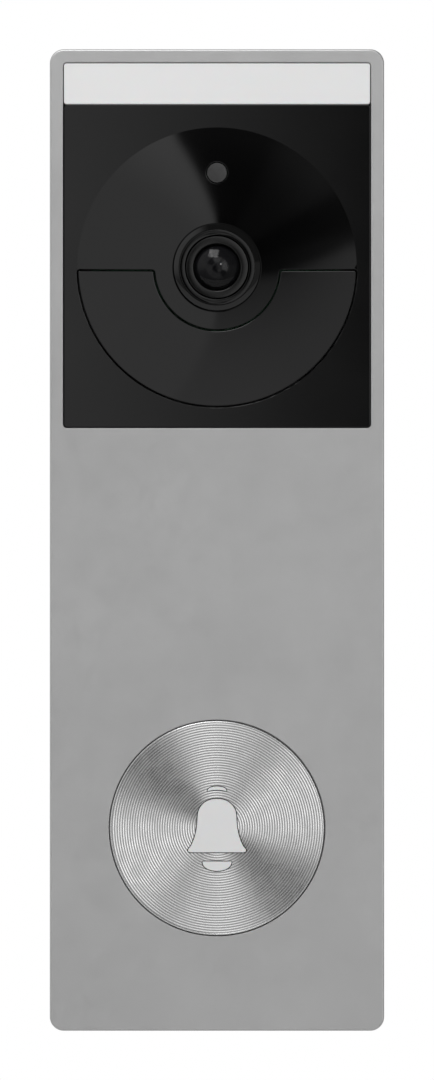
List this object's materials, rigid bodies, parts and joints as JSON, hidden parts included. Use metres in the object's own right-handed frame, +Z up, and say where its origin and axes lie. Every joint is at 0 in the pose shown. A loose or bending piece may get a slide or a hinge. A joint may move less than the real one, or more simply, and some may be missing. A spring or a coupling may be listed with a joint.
{
  "type": "video doorbell",
  "caption": "Slim wired video doorbell with an aluminium front, camera window, light bar and a round turned bell button, hung on a wall bracket.",
  "frame": {"origin": "on the wall, at the middle of the bracket's back face", "axes": "+Z up, +X to the right as a visitor sees it, +Y into the wall; the front faces -Y"},
  "size_m": [0.062, 0.0254, 0.182],
  "materials": {
    "blasted_aluminium": "bead-blasted and clear anodised",
    "turned_aluminium": "face-turned with fine concentric rings",
    "gloss_black": "gloss",
    "smoked_window": "gloss, passes infrared light",
    "opal_plastic": "satin, lets light through",
    "lens_glass": "polished and coated",
    "matt_black": "fine moulded grain",
    "black_rubber": "matt",
    "circuit_board": "satin lacquer",
    "steel": "plated",
    "bracket_steel": "zinc plated",
    "brass": "plain",
    "copper_wire": "enamelled",
    "sensor_glass": "polished",
    "led_white": "gloss",
    "grey_paper": "pressed fibre",
    "red_plastic": "satin"
  },
  "bodies": {
    "wall_bracket": {"wall_bracket": "bracket_steel"},
    "unit": {"button_board": "circuit_board", "button_led_1": "led_white", "button_led_2": "led_white", "button_seal": "black_rubber", "camera_board": "circuit_board", "cover_screw_1": "steel", "cover_screw_2": "steel", "cover_screw_3": "steel", "cover_screw_4": "steel", "front_housing": "matt_black", "front_plate": "blasted_aluminium", "image_sensor": "sensor_glass", "infrared_board": "circuit_board", "infrared_led_1": "smoked_window", "infrared_led_2": "smoked_window", "infrared_led_3": "smoked_window", "infrared_led_4": "smoked_window", "infrared_window": "smoked_window", "ir_cut_coil": "copper_wire", "lens_barrel": "matt_black", "lens_bezel": "gloss_black", "lens_dome": "lens_glass", "lens_holder": "matt_black", "lens_retainer": "matt_black", "light_bar_board": "circuit_board", "light_bar_diffuser": "opal_plastic", "light_bar_led_1": "led_white", "light_bar_led_2": "led_white", "light_bar_led_3": "led_white", "light_sensor": "sensor_glass", "light_sensor_window": "smoked_window", "main_board": "circuit_board", "microphone": "steel", "microphone_boot": "black_rubber", "processor_shield": "steel", "rear_cover": "matt_black", "rear_gasket": "black_rubber", "reset_switch": "steel", "speaker_frame": "matt_black", "speaker_magnet": "steel", "speaker_surround": "black_rubber", "switch_body": "steel", "tamper_switch": "steel", "terminal_block": "matt_black", "terminal_screw_1": "brass", "terminal_screw_2": "brass", "wifi_antenna": "brass", "window_gasket": "black_rubber", "window_panel": "gloss_black"},
    "bell_button": {"bell_button_cap": "turned_aluminium", "bell_light_guide": "opal_plastic", "button_carrier": "matt_black"},
    "button_plunger": {"switch_plunger": "matt_black"},
    "filter_shuttle": {"ir_cut_shuttle": "sensor_glass"},
    "cone_assembly": {"speaker_cone": "grey_paper", "voice_coil": "copper_wire"},
    "reset_key": {"reset_button": "red_plastic"},
    "tamper_pin": {"tamper_plunger": "opal_plastic"},
    "locking_screw": {"security_screw": "steel"}
  },
  "joints": [
    {"name": "unit_lift", "type": "slide", "parent": "wall_bracket", "child": "unit", "axis": [0, 0, 1], "range_m": [0, 0.006]},
    {"name": "bell_press", "type": "slide", "parent": "unit", "child": "bell_button", "axis": [0, 1, 0], "range_m": [0, 0.0006], "stiffness_N_per_m": 2500, "springref_m": -0.0004, "deforming": ["button_seal"]},
    {"name": "switch_press", "type": "slide", "parent": "unit", "child": "button_plunger", "axis": [0, 1, 0], "range_m": [0, 0.0006]},
    {"name": "ir_cut_slide", "type": "slide", "parent": "unit", "child": "filter_shuttle", "axis": [1, 0, 0], "range_m": [0, 0.0054]},
    {"name": "speaker_excursion", "type": "slide", "parent": "unit", "child": "cone_assembly", "axis": [0, 0, 1], "range_m": [-0.0003, 0.0003], "stiffness_N_per_m": 900, "deforming": ["speaker_surround"]},
    {"name": "reset_press", "type": "slide", "parent": "unit", "child": "reset_key", "axis": [0, -1, 0], "range_m": [0, 0.0005], "stiffness_N_per_m": 1500, "springref_m": -0.0003},
    {"name": "tamper_press", "type": "slide", "parent": "unit", "child": "tamper_pin", "axis": [0, -1, 0], "range_m": [0, 0.0008], "stiffness_N_per_m": 400, "springref_m": -0.0003},
    {"name": "security_screw_out", "type": "slide", "parent": "unit", "child": "locking_screw", "axis": [0, 0, -1], "range_m": [0, 0.006]}
  ],
  "couplings": [
    {"joint": "switch_press", "follows": "bell_press", "ratio": 1}
  ]
}
